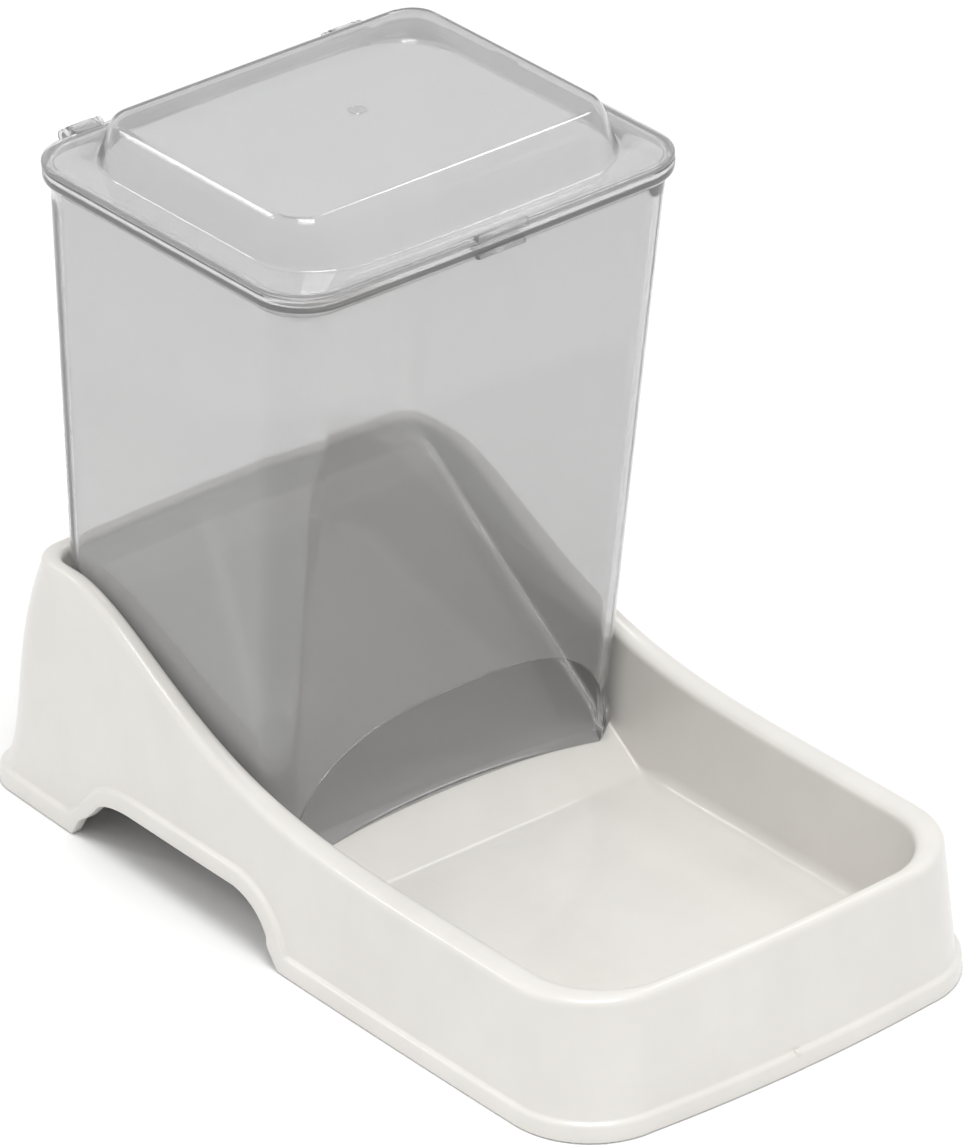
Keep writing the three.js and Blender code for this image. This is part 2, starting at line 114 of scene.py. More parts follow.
# Hopper
WALL = 2.2
RAMP = 2.7
SEAT_GAP = 0.45
MOUTH = 305.0
TUBE_TOP = 299.0
TUBE_TOP_INSIDE = 300.2
HOPPER_TOP = 307.5
ARCH_HALF = 84.5
ARCH_FOOT = 30.0
ARCH_RISE = 57.0
ARCH_POWER = 2.6
TONGUE = 229.0
CORNER_FILL = 1.4
FILLET = 3.2
FILLET_FADE = 0.35

# The bead at each front corner's foot: its middle, depth and reach, round the outline and in height.
BEAD_Q = 1.52
BEAD_Z = 33.0
BEAD_DEPTH = 3.0
BEAD_REACH_Q = 0.3
BEAD_REACH_Z = 7.0

# The rounded edges of the arch and the tongue. A fade is counted in points along the edge.
ARCH_EDGE_BULGE = 0.45
ARCH_EDGE_FADE = 6.0
TONGUE_BULGE = 0.5
TONGUE_EDGE_FADE = 3.0
TONGUE_FADE = 5.0

# How many times faster than the height the tube's points even out above the arch.
EVEN_BY = 1.6

# Lid
LID_SKIN = 2.0
DOME_FILLET = 0.12
DOME_SHOULDER = 0.5
CROWN = 0.6
CROWN_RISE = 0.35
LID_SEAT = HOPPER_TOP + 0.3
LID_LEDGE = LID_SEAT + LID_SKIN
SKIRT_FOOT = LID_SEAT - 2.6

# Hinge
PIN_X = 70.0
PIN_RADIUS = 1.6
PIN_CLEARANCE = 0.2
KNUCKLE_RADIUS = 3.4
KNUCKLE_HALF = 6.5
EAR_RADIUS = 3.2
EAR_OFFSET = 9.0
EAR_HALF = 1.0
EAR_ROOT = 367.4
EAR_FOOT = 302.8

# The radius on the edges of the small pieces.
EDGE_ROUND = 0.3

# How many points go along half an outline's front or rear edge, round a corner and along a side. The
# base's side is in three stretches: in front of the finger cut-out, over it and behind it. The hopper's
# front is its arch and a short drop at the arch's foot, and ARCH_CORNER of the arch's points are round
# the corner at the top.
EDGE = 14
CORNER = 18
SIDE_FRONT = 40
SIDE_CUT = 84
SIDE_REAR = 8
HOPPER_SIDE = 40
LID_SIDE = 40
ARCH_STATIONS = 46
FOOT_STATIONS = 4
ARCH = ARCH_STATIONS + FOOT_STATIONS
ARCH_CORNER = 12

# How many rows each surface has, where the rows behind the outer wall are, and how often the hopper's
# foot and lower edge are worked out again, the edge from a first guess at its height.
BEHIND_WALL = (0.86, 0.7, 0.5, 0.3, 0.15, 0.05)
WALL_ROWS = 18
RIM_ROWS = 22
WELL_ROWS = 5
FILLET_ROWS = 8
TUBE_ROWS = 34
RAMP_FILLET_ROWS = 7
STRIP_ROWS = 6
DOME_ROWS = 30
DOME_ROWS_UNDER = 26
MARK_COLUMNS = 49
FOOT_PASSES = 8
EDGE_PASSES = 12
FIRST_GUESS = 60.0

# Shading breaks at edges over SMOOTH_ANGLE, and edges over BEVEL_ANGLE are rounded. SAG_FADE is how fast
# the bow of a patch's ends dies away.
SMOOTH_ANGLE = 34
BEVEL_ANGLE = 40
SAG_FADE = 4


# ---- Outlines ----

def mix(a, b, t):
    return a + (b - a) * t


def smoothstep(t):
    u = np.clip(t, 0.0, 1.0)
    return u * u * (3.0 - 2.0 * u)


def plan(front, rear, half, half_rear, r_front, r_rear, bow):
    """An outline: y of its ends, half widths, corner radii, and how far its ends bow out."""
    return np.array([front, rear, half, half_rear, r_front, r_rear, bow], float)


# How much each value of a plan changes when the outline grows by one, and which values are radii.
GROW = np.array([-1, 1, 1, 1, 1, 1, 0], float)
RADII = slice(4, 6)

FLANGE = plan(0, LENGTH, WIDTH / 2, 107.5, 40, 20.5, 3.4)
WALL_FOOT = plan(3, 404.7, 112.6, 105, 38, 19.5, 3.2)
RIM_OUTER = plan(7.5, 373.4, 110.4, 104.5, 42.4, 14.7, 1.5)
RIM_INNER = plan(15, 364.2, 96.5, 97.3, 36, 10, 1.5)
WELL = plan(20, 363.4, 93.5, 96.9, 30, 9.5, 1.5)
HOPPER_MOUTH = plan(190.8, 365.6, HOPPER_RIM_HALF - 3.2, HOPPER_RIM_HALF - 3.2, 21, 22, 1)
HOPPER_DRAFT = plan(0.105, -0.02, -0.042, -0.042, -0.025, -0.045, 0)
LID_EDGE = plan(187.6, 368.9, LID_HALF, LID_HALF, 24.5, 24.5, 1)
DOME_FOOT = plan(199, 358.5, 93, 93, 34, 36, 1)
DOME_TOP = plan(217.5, 339.5, 82.5, 82.5, 12, 10, 0)


def grow(shape, distance):
    distance = np.asarray(distance, float)
    return shape + distance[..., None] * GROW


def outline(shape, q):
    """Points and outward normals of half an outline. q runs 0-1 along the front edge, 1-2 round the front
    corner, 2-3 along the side, 3-4 round the rear corner and 4-5 along the rear edge. shape is one plan
    or one for each q."""
    front, rear, half, half_rear, r_front, r_rear, bow = np.moveaxis(np.asarray(shape, float), -1, 0)
    q = np.clip(np.asarray(q, float), 0, 5)
    part = np.minimum(np.floor(q), 4)
    t = q - part
    front_straight, rear_straight = half - r_front, half_rear - r_rear
    front_corner, rear_corner = front + bow + r_front, rear - bow - r_rear
    turn_in = -math.pi / 2 * (1 - t)
    turn_out = math.pi / 2 * t
    pick = [part == k for k in range(5)]
    x = np.select(pick, [
        front_straight * t,
        front_straight + r_front * np.cos(turn_in),
        mix(half, half_rear, t * t),
        rear_straight + r_rear * np.cos(turn_out),
        rear_straight * (1 - t),
    ])
    y = np.select(pick, [
        front + bow * t * t,
        front_corner + r_front * np.sin(turn_in),
        mix(front_corner, rear_corner, t),
        rear_corner + r_rear * np.sin(turn_out),
        rear - bow * (1 - t) ** 2,
    ])
    one, zero = np.ones_like(t), np.zeros_like(t)
    nx = np.select(pick, [zero, np.cos(turn_in), one, np.cos(turn_out), zero])
    ny = np.select(pick, [-one, np.sin(turn_in), zero, np.sin(turn_out), one])
    return x, y, nx, ny


def superellipse(angle, power):
    """A point on the upper half of a superellipse one unit in radius."""
    across = math.copysign(abs(math.cos(angle)) ** (2 / power), math.cos(angle))
    return across, abs(math.sin(angle)) ** (2 / power)


def stations(side):
    """Values of q round half an outline, with as many points on its side as asked."""
    return np.concatenate([
        np.linspace(0, 1, EDGE, endpoint=False),
        np.linspace(1, 2, CORNER, endpoint=False),
        np.linspace(2, 3, side, endpoint=False),
        np.linspace(3, 4, CORNER, endpoint=False),
        np.linspace(4, 5, EDGE + 1),
    ])


def ring(shape, q, height, push=0.0):
    """A half ring of points. height is a number, one for each q, or a function of y."""
    x, y, nx, ny = outline(shape, q)
    distance = push(y) if callable(push) else push
    x, y = x + nx * distance, y + ny * distance
    z = height(y) if callable(height) else np.broadcast_to(np.asarray(height, float), x.shape)
    return np.stack([x, y, z], axis=-1)


def patch(edge, height=None):
    """A grid that fills a half ring: its columns start on the front edge and end on the rear edge."""
    front, rear = edge[:EDGE + 1], edge[::-1][:EDGE + 1]
    side = edge[EDGE:len(edge) - EDGE]
    across = front[:, 0] / front[-1, 0]
    along = ((side[:, 1] - side[0, 1]) / (side[-1, 1] - side[0, 1]))[:, None]
    x = side[:, :1] * across
    front_sag = (front[:, 1] - front[-1, 1]) * (1 - along) ** SAG_FADE
    rear_sag = (rear[:, 1] - rear[-1, 1]) * along ** SAG_FADE
    y = side[:, 1:2] + front_sag + rear_sag
    z = np.broadcast_to(side[:, 2:3], x.shape) if height is None else height(y)
    return np.stack([x, y, z], axis=-1)


# ---- Meshes ----

def to_metres(points):
    points = np.array(points, float)
    points[..., 1] -= LENGTH / 2
    return points * MM


def mesh_object(name, grids, mirror=True, weld=2e-6):
    """One object from grids of points, each an array of rows of points."""
    vertices, faces = [], []
    count = 0
    for grid in grids:
        rows, columns = grid.shape[:2]
        index = count + np.arange(rows * columns).reshape(rows, columns)
        quads = np.stack([index[:-1, :-1], index[:-1, 1:], index[1:, 1:], index[1:, :-1]], axis=-1)
        vertices.append(to_metres(grid).reshape(-1, 3))
        faces.append(quads.reshape(-1, 4))
        count += rows * columns
    vertices, faces = np.concatenate(vertices), np.concatenate(faces)
    if mirror:
        flipped = vertices * np.array([-1, 1, 1])
        faces = np.concatenate([faces, faces[:, ::-1] + len(vertices)])
        vertices = np.concatenate([vertices, flipped])
    mesh = bpy.data.meshes.new(name)
    mesh.from_pydata(vertices.tolist(), [], faces.tolist())
    work = bmesh.new()
    work.from_mesh(mesh)
    bmesh.ops.remove_doubles(work, verts=work.verts, dist=weld)
    bmesh.ops.dissolve_degenerate(work, edges=work.edges, dist=weld)
    bmesh.ops.recalc_face_normals(work, faces=work.faces)
    work.to_mesh(mesh)
    work.free()
    return finish_mesh(name, mesh)


def finish_mesh(name, mesh):
    mesh.shade_smooth()
    mesh.set_sharp_from_angle(angle=math.radians(SMOOTH_ANGLE))
    piece = bpy.data.objects.new(name, mesh)
    bpy.context.scene.collection.objects.link(piece)
    return piece


def rounded_solid(name, outline_yz, x_low, x_high, radius, steps=3):
    """A flat outline in the YZ plane given a thickness along x and rounded edges."""
    work = bmesh.new()
    rows = to_metres([[x_low, y, z] for y, z in outline_yz])
    face = work.faces.new([work.verts.new(point) for point in rows])
    grown = bmesh.ops.extrude_face_region(work, geom=[face])
    moved = [v for v in grown["geom"] if isinstance(v, bmesh.types.BMVert)]
    bmesh.ops.translate(work, verts=moved, vec=((x_high - x_low) * MM, 0, 0))
    bmesh.ops.recalc_face_normals(work, faces=work.faces)
    sharp = [e for e in work.edges if e.is_manifold and e.calc_face_angle() > math.radians(BEVEL_ANGLE)]
    bmesh.ops.bevel(work, geom=sharp, offset=radius * MM, segments=steps, profile=0.5,
                    affect="EDGES", clamp_overlap=True)
    mesh = bpy.data.meshes.new(name)
    work.to_mesh(mesh)
    work.free()
    return finish_mesh(name, mesh)


# ---- Base ----

def rim_height(y):
    along = np.clip((y - RIM_RISE[0]) / (RIM_RISE[1] - RIM_RISE[0]), 0, 1)
    return mix(RIM_LOW, RIM_HIGH, smoothstep(along ** RIM_SKEW))


def rim_side(y):
    """The height at which the walls turn into the rounded rim."""
    return rim_height(y) - RIM_DEPTH


def slope_height(y):
    return FLOOR + SLOPE * (y - SLOPE_FOOT)


def floor_height(y):
    """The flat floor turns into the slope through a short soft bend."""
    slope = slope_height(y)
    rise = slope - FLOOR
    soft = FLOOR + 0.5 * (rise + np.sqrt(rise ** 2 + FLOOR_BEND ** 2))
    return np.minimum(np.where(rise > BEND_REACH, slope, soft - BEND_DROP), SLOPE_TOP)


def under_floor(y):
    return floor_height(y) - SKIN


def fillet_size(y):
    return mix(BOWL_FILLET, CRADLE_FILLET, smoothstep((y - FILLET_CHANGE) / FILLET_CHANGE_LENGTH))


def wall_plan(fraction):
    """The outer wall's outline at a fraction of its height, bulging and flaring at the back."""
    fraction = np.clip(np.asarray(fraction, float), 0, 1)
    shape = mix(WALL_FOOT, RIM_OUTER, fraction[..., None])
    lean = REAR_LEAN * (1 - fraction ** REAR_LEAN_POWER)
    shape[..., 1] = RIM_OUTER[1] + lean + REAR_FLARE * (1 - fraction) ** REAR_FLARE_POWER
    return shape


def wall_fraction(y, z):
    return (z - FLANGE_HEIGHT) / (rim_side(y) - FLANGE_HEIGHT)


def wall_points(q, z, push=0.0):
    """Points on the outer wall at each q and height, pushed out a little."""
    y = outline(RIM_OUTER, q)[1]
    y = outline(wall_plan(wall_fraction(y, z)), q)[1]
    return ring(wall_plan(wall_fraction(y, z)), q, z, push)


def bezier(points, count):
    """A smooth curve through a control polygon of three or four points."""
    t = np.linspace(0, 1, count)[:, None]
    points = [np.array(p, float) for p in points]
    while len(points) > 1:
        points = [mix(a, b, t) for a, b in zip(points, points[1:])]
    return points[0]


def cutout_path():
    """The finger cut-out's edge in the YZ plane, from its front foot to its rear foot. Both feet are a
    little below the floor."""
    return np.concatenate([
        np.linspace((194.8, -2.0), (206, 12), 12),
        bezier([(206, 12), (216, 25.4), (232, 26.8)], 24)[1:],
        np.linspace((232, 26.8), (306, 26.4), 30)[1:],
        bezier([(306, 26.4), (322, 25.5), (326.5, 20.5)], 24)[1:],
        np.linspace((326.5, 20.5), (340.5, -2.0), 20)[1:],
    ])


def resample(path, count):
    """The same path with its points evenly spread along it."""
    steps = np.hypot(*np.diff(path, axis=0).T)
    along = np.concatenate([[0], np.cumsum(steps)])
    wanted = np.linspace(0, along[-1], count)
    return np.stack([np.interp(wanted, along, path[:, k]) for k in range(2)], axis=-1)


def offset_path(distance, count):
    """The cut-out's edge moved outwards by a distance and clipped at that height over the floor."""
    path = resample(cutout_path(), 400)
    along = np.gradient(path, axis=0)
    along /= np.hypot(*along.T)[:, None]
    moved = path + distance * np.stack([-along[:, 1], along[:, 0]], axis=-1)
    return resample(moved[moved[:, 1] >= distance], count)


def band_ring(distance, push, foot_shape):
    """A ring that follows the base's lower edge, cut-outs included, a distance inside it, with its q
    and heights."""
    cut = offset_path(distance, SIDE_CUT)
    corner_y = outline(foot_shape, np.array([2.0, 3.0]))[1]
    front_y = np.linspace(corner_y[0], cut[0, 0], SIDE_FRONT, endpoint=False)
    rear_y = np.linspace(cut[-1, 0], corner_y[1], SIDE_REAR + 1)[1:]
    side_y = np.concatenate([front_y, cut[:, 0], rear_y])
    side_z = np.concatenate([np.full(SIDE_FRONT, distance), cut[:, 1], np.full(SIDE_REAR, distance)])
    side_q = 2 + (side_y - corner_y[0]) / (corner_y[1] - corner_y[0])
    head = np.concatenate([
        np.linspace(0, 1, EDGE, endpoint=False),
        np.linspace(1, 2, CORNER, endpoint=False),
    ])
    tail = np.concatenate([np.linspace(3, 4, CORNER + 1)[1:-1], np.linspace(4, 5, EDGE + 1)])
    q = np.concatenate([head, side_q, tail])
    z = np.concatenate([np.full(len(head), distance), side_z, np.full(len(tail), distance)])
    low = ring(foot_shape, q, z, push)
    high = wall_points(q, z, PROUD + push)
    blend = smoothstep((z - BAND_TOP) / BAND_TOP_BLEND)[:, None]
    return mix(low, high, blend), q, z


def top_stations():
    """The q of each point round the rim: as round the foot, but even along the side."""
    q = band_ring(0.0, 0.0, FLANGE)[1]
    front, rear = outline(RIM_OUTER, np.array([2.0, 3.0]))[1]
    side_y = np.concatenate([
        np.linspace(front, CUT_FRONT, SIDE_FRONT, endpoint=False),
        np.linspace(CUT_FRONT, CUT_REAR, SIDE_CUT),
    ])
    start = EDGE + CORNER
    stop = start + len(side_y)
    q[start:stop] = 2 + (side_y - front) / (rear - front)
    q[stop:stop + SIDE_REAR] = np.linspace(q[stop - 1], 3, SIDE_REAR + 1)[1:]
    return q


def underside_rings(top_q):
    """From under the floor up inside the rim, then down behind the wall to the lower edge."""
    rings = [
        ring(WELL, top_q, under_floor, lambda y: -fillet_size(y)),
        ring(grow(WELL, SKIN), top_q, lambda y: floor_height(y) + WELL_FOOT_RAISE),
        ring(grow(RIM_INNER, SKIN), top_q, lambda y: rim_height(y) - UNDER_RIM),
        ring(mix(RIM_INNER, RIM_OUTER, 0.5), top_q, lambda y: rim_height(y) - SKIN - UNDER_RIM_SKIN),
        ring(grow(RIM_OUTER, -SKIN), top_q, lambda y: rim_height(y) - UNDER_RIM),
    ]
    _, crease_q, crease_z = band_ring(CREASE, -PROUD, grow(FLANGE, -CREASE_INSET))
    for f in BEHIND_WALL:
        q = mix(crease_q, top_q, smoothstep(f))
        y = outline(RIM_OUTER, q)[1]
        rings.append(wall_points(q, mix(crease_z, rim_side(y), f), -SKIN))
    rings.append(band_ring(CREASE_FOOT, -PROUD - SKIN, grow(FLANGE, -CREASE_INSET))[0])
    rings.append(band_ring(0.0, -PROUD - SKIN, FLANGE)[0])
    return rings


# The band's profile: the distance from the lower edge, and how far it is pushed out.
BAND_PROFILE = [
    (0.0, -0.7), (0.3, -0.22), (0.9, 0.0), (3.0, 0.0), (6.6, 0.0), (7.3, -0.12),
    (7.9, -0.5), (8.3, -1.1), (8.6, -1.7), (9.0, -2.1), (9.5, -2.27), (STEP_TOP, -PROUD),
]


def band_rings():
    """The flange and the band round the cut-outs: a flat foot, a proud face and a soft step."""
    return [
        band_ring(distance, push, grow(FLANGE, -FLANGE_DRAFT * distance))[0]
        for distance, push in BAND_PROFILE
    ]


def wall_rings(top_q):
    """The outer wall, from the step over the flange to the rim."""
    _, foot_q, foot_z = band_ring(STEP_TOP, -PROUD, grow(FLANGE, -STEP_INSET))
    rings = []
    for f in np.linspace(0, 1, WALL_ROWS + 1)[1:]:
        q = mix(foot_q, top_q, smoothstep(f))
        top = ring(RIM_OUTER, q, rim_side)[:, 2]
        rings.append(wall_points(q, mix(foot_z, top, f)))
    return rings


def rim_rings(top_q):
    """The rounded rim, over from the outer wall to the inner one."""
    rings = []
    for angle in np.linspace(0, math.pi, RIM_ROWS + 1)[1:]:
        across, up = superellipse(angle, RIM_POWER)
        shape = mix(RIM_INNER, RIM_OUTER, 0.5 + 0.5 * across)
        rings.append(ring(shape, top_q, lambda y: rim_height(y) - RIM_DEPTH * (1 - up)))
    return rings


def well_rings(top_q, inner_top):
    """The inner wall, its fillet and a narrow margin of floor."""
    foot = ring(WELL, top_q, lambda y: floor_height(y) + fillet_size(y))
    rings = [mix(inner_top, foot, f) for f in np.linspace(0, 1, WELL_ROWS + 1)[1:]]
    for angle in np.linspace(0, math.pi / 2, FILLET_ROWS + 1)[1:]:
        rise, reach = 1 - math.sin(angle), 1 - math.cos(angle)
        fillet = ring(WELL, top_q, lambda y: floor_height(y) + fillet_size(y) * rise,
                      lambda y: -fillet_size(y) * reach)
        rings.append(fillet)
    rings.append(ring(WELL, top_q, floor_height, lambda y: -fillet_size(y) - FLOOR_MARGIN))
    return rings


def base_grids():
    top_q = top_stations()
    rings = underside_rings(top_q) + band_rings() + wall_rings(top_q) + rim_rings(top_q)
    rings += well_rings(top_q, rings[-1])
    return [np.stack(rings), patch(rings[-1], floor_height), patch(rings[0], under_floor)]


def gate_vestige():
    """The moulding gate's scar: a small nub on the flange at the middle of the front."""
    shape = [(2.0, 5.9), (0.75, 6.2), (0.28, 6.9), (0.28, 8.2), (0.8, 9.0), (2.0, 9.6)]
    return rounded_solid("base_gate_vestige", shape, -1.3, 1.3, EDGE_ROUND)


# ---- Hopper ----

def hopper_plan(z, skin=0.0):
    """The tube's outline at a height, or its inner outline, whose corners are filled out a little."""
    z = np.asarray(z, float)
    shape = grow(HOPPER_MOUTH + (MOUTH - z)[..., None] * HOPPER_DRAFT, -skin)
    shape[..., RADII] += CORNER_FILL * skin / WALL
    return shape


def hopper_ring(q, z, skin, push=0.0):
    return ring(hopper_plan(z, skin), q, z, push)


def q_at_x(x, shape):
    """The q at which the front edge or corner of an outline has this x."""
    straight = shape[..., 2] - shape[..., 4]
    turn = np.arccos(np.clip((x - straight) / shape[..., 4], 0, 1))
    return np.where(x <= straight, x / straight, 1 + (math.pi / 2 - turn) / (math.pi / 2))


def bead_push(q, z):
    """A soft retaining bead at the foot of each front corner."""
    away = ((q - BEAD_Q) / BEAD_REACH_Q) ** 4
    return BEAD_DEPTH * np.exp(-away - ((z - BEAD_Z) / BEAD_REACH_Z) ** 4)


def hopper_edge(skin, raise_by):
    """The tube's lower edge: q and z from the arch's top, down its side, and round along the slope. The
    slope's height depends on y, and y on the height, so both are found by repeated steps."""
    turn = np.linspace(math.pi / 2, 0, ARCH_STATIONS)
    x = ARCH_HALF * np.abs(np.cos(turn)) ** (2 / ARCH_POWER)
    z = ARCH_FOOT + ARCH_RISE * np.abs(np.sin(turn)) ** (2 / ARCH_POWER)
    q = q_at_x(x, hopper_plan(z, skin))
    foot_z = ARCH_FOOT
    for _ in range(FOOT_PASSES):
        shape = hopper_plan(foot_z, skin)
        foot_q = q_at_x(np.array(ARCH_HALF), shape)
        foot_z = slope_height(outline(shape, foot_q)[1]) + raise_by
    drop = np.linspace(ARCH_FOOT, foot_z, FOOT_STATIONS + 1)[1:]
    drop_q = q_at_x(np.full(FOOT_STATIONS, ARCH_HALF), hopper_plan(drop, skin))
    rest_q = np.concatenate([
        np.linspace(foot_q, 2, 10)[1:],
        np.linspace(2, 3, HOPPER_SIDE + 1)[1:],
        np.linspace(3, 4, CORNER + 1)[1:],
        np.linspace(4, 5, EDGE + 1)[1:],
    ])
    rest_z = np.full(len(rest_q), FIRST_GUESS)
    for _ in range(EDGE_PASSES):
        y = outline(hopper_plan(rest_z, skin), rest_q)[1]
        rest_z = slope_height(y) + raise_by
    return np.concatenate([q, drop_q, rest_q]), np.concatenate([z, drop, rest_z])


# The flared rim's profile, over from the outside to the inside: height, and how far it is pushed out.
FLARE = [
    (299.6, 0.2), (300.4, 0.8), (301.6, 2.1), (302.4, 2.8), (303.4, 3.2), (306.6, 3.2),
    (307.25, 2.9), (307.5, 2.4), (307.5, 1.4), (307.25, 0.9), (306.8, 0.7), (305.2, 0.6),
    (304.4, 0.35), (303.6, -0.45), (302.6, -1.6), (301.6, -2.15),
]


def turned_q(edge_q, top_q, f):
    """From an edge's own stations to the even ones at the top, which are reached part of the way up."""
    return mix(edge_q, top_q, smoothstep(f * EVEN_BY))


def tube_rings():
    """From the outer lower edge up, over the rim and down to the inner lower edge."""
    outer_q, outer_z = hopper_edge(0.0, SEAT_GAP)
    inner_q, inner_z = hopper_edge(WALL, SEAT_GAP + RAMP)
    top_q = outer_q.copy()
    top_q[:ARCH] = np.concatenate([
        np.linspace(0, 1, ARCH_STATIONS - ARCH_CORNER, endpoint=False),
        np.linspace(1, outer_q[ARCH], ARCH_CORNER + FOOT_STATIONS, endpoint=False),
    ])
    rings = []
    rows = np.linspace(0, 1, TUBE_ROWS)
    for f in rows:
        q = turned_q(outer_q, top_q, f)
        z = mix(outer_z, TUBE_TOP, f)
        rings.append(hopper_ring(q, z, 0.0, bead_push(q, z)))
    rings += [ring(grow(HOPPER_MOUTH, push), top_q, z) for z, push in FLARE]
    # The inner wall stops above the ramp and turns into it through a fillet that fades at the arch.
    fade = FILLET * smoothstep((inner_q - inner_q[ARCH - 1]) / FILLET_FADE)
    for f in rows[::-1]:
        q = turned_q(inner_q, top_q, f)
        rings.append(hopper_ring(q, mix(inner_z + fade, TUBE_TOP_INSIDE, f), WALL))
    ny = outline(hopper_plan(inner_z, WALL), inner_q)[3]
    for angle in np.linspace(0, math.pi / 2, RAMP_FILLET_ROWS + 1)[1:]:
        inset = fade * (1 - math.cos(angle))
        edge = hopper_ring(inner_q, inner_z, WALL, -inset)
        edge[:, 2] += fade * (1 - math.sin(angle)) - SLOPE * ny * inset
        rings.append(edge)
    return rings


def ramp_face(edge, raise_by):
    """One face of the ramp, within a lower edge of the tube. Its front row makes the tongue."""
    boundary = edge[ARCH - 1:]
    across = np.linspace(0, 1, EDGE + 1)
    tongue_y = mix(TONGUE, boundary[0, 1], across ** 2)
    tongue = np.stack([across * boundary[0, 0], tongue_y, slope_height(tongue_y) + raise_by], axis=-1)
    closed = np.concatenate([tongue[:-1], boundary])
    front, rear = closed[:EDGE + 1], closed[::-1][:EDGE + 1]
    side = closed[EDGE:len(closed) - EDGE]
    fade = np.exp(-np.arange(len(side)) / TONGUE_FADE)[:, None]
    along = ((side[:, 1] - side[0, 1]) / (side[-1, 1] - side[0, 1]))[:, None]
    x = side[:, :1] * across
    front_sag = (front[:, 1] - front[-1, 1]) * fade
    rear_sag = (rear[:, 1] - rear[-1, 1]) * along ** SAG_FADE
    y = side[:, 1:2] + front_sag + rear_sag
    y[-1] = rear[:, 1]
    return np.stack([x, y, slope_height(y) + raise_by], axis=-1)


def rounded_strip(a, b, bulge):
    """A strip between two edges, bulging between them."""
    return np.stack([mix(a, b, t) + bulge * math.sin(math.pi * t) for t in np.linspace(0, 1, STRIP_ROWS)])


def arch_strip(outer, inner):
    """The arch's rounded edge, between the tube's outside and inside."""
    along = np.gradient(outer, axis=0)
    inward = np.stack([along[:, 2], 0 * along[:, 2], -along[:, 0]], axis=-1)
    inward /= np.linalg.norm(inward, axis=1)[:, None]
    fade = smoothstep(np.arange(ARCH)[::-1] / ARCH_EDGE_FADE)[:, None]
    return rounded_strip(outer, inner, ARCH_EDGE_BULGE * fade * inward)


def tongue_strip(under, over):
    """The tongue's rounded edge, between the ramp's two faces."""
    fade = smoothstep(np.arange(EDGE + 1)[::-1] / TONGUE_EDGE_FADE)[:, None]
    return rounded_strip(under[0], over[0], TONGUE_BULGE * fade * np.array([0, -1.0, 0]))


def hopper_grids():
    rings = tube_rings()
    under = ramp_face(rings[0], SEAT_GAP)
    over = ramp_face(rings[-1], SEAT_GAP + RAMP)
    strip = arch_strip(rings[0][:ARCH], rings[-1][:ARCH])
    return [np.stack(rings), under, over, strip, tongue_strip(under, over)]


# ---- Lid ----

def dome_rise(t):
    """How far up the dome's wall is: straight between a small fillet at its foot and a broad shoulder."""
    steepest = 2 / (2 - DOME_FILLET - DOME_SHOULDER)
    if t < DOME_FILLET:
        return steepest * t * t / (2 * DOME_FILLET)
    if t < 1 - DOME_SHOULDER:
        return steepest * (t - DOME_FILLET / 2)
    return 1 - steepest * (1 - t) ** 2 / (2 * DOME_SHOULDER)


def dome_ring(t, skin, q):
    shape = grow(mix(DOME_FOOT, DOME_TOP, t), -skin * (1 - t / 2))
    return ring(shape, q, mix(LID_LEDGE, HEIGHT - CROWN, dome_rise(t)) - skin)


# The skirt and the plate, from inside the skirt, under its foot and out, to the dome's foot on top: a
# plan, how far it is pushed out, and the height.
LID_PROFILE = [
    (HOPPER_MOUTH, -1.8, LID_SEAT),
    (HOPPER_MOUTH, -1.75, LID_SEAT - 0.6),
    (HOPPER_MOUTH, -1.6, SKIRT_FOOT + 0.4),
    (HOPPER_MOUTH, -1.3, SKIRT_FOOT),
    (HOPPER_MOUTH, -0.5, SKIRT_FOOT),
    (HOPPER_MOUTH, -0.15, SKIRT_FOOT + 0.4),
    (HOPPER_MOUTH, 0.0, LID_SEAT - 0.4),
    (HOPPER_MOUTH, 0.1, LID_SEAT),
    (LID_EDGE, -0.9, LID_SEAT),
    (LID_EDGE, -0.3, LID_SEAT + 0.15),
    (LID_EDGE, 0.0, LID_SEAT + 0.6),
    (LID_EDGE, 0.0, LID_LEDGE - 0.8),
    (LID_EDGE, -0.2, LID_LEDGE - 0.25),
    (LID_EDGE, -0.7, LID_LEDGE),
    (LID_EDGE, -2.5, LID_LEDGE),
    (DOME_FOOT, 2.5, LID_LEDGE),
    (DOME_FOOT, 0.8, LID_LEDGE + 0.02),
]


def crowned(grid, level):
    """A grid over the dome's top set to a level and raised a little in its middle."""
    middle = (DOME_TOP[0] + DOME_TOP[1]) / 2
    reach = np.hypot(grid[..., 0] / DOME_TOP[2], (grid[..., 1] - middle) / (DOME_TOP[1] - middle))
    grid[..., 2] = level + CROWN_RISE * np.clip(1 - reach ** 2, 0, 1)
    return grid


def lid_grids():
    q = stations(LID_SIDE)
    rings = [dome_ring(t, LID_SKIN, q) for t in np.linspace(1, 0, DOME_ROWS_UNDER)]
    rings += [ring(grow(shape, push), q, z) for shape, push, z in LID_PROFILE]
    rings += [dome_ring(t, 0.0, q) for t in np.linspace(0, 1, DOME_ROWS)]
    upper = crowned(patch(rings[-1]), HEIGHT - CROWN)
    under = crowned(patch(rings[0]), HEIGHT - CROWN - LID_SKIN)
    return [np.stack(rings), upper, under]


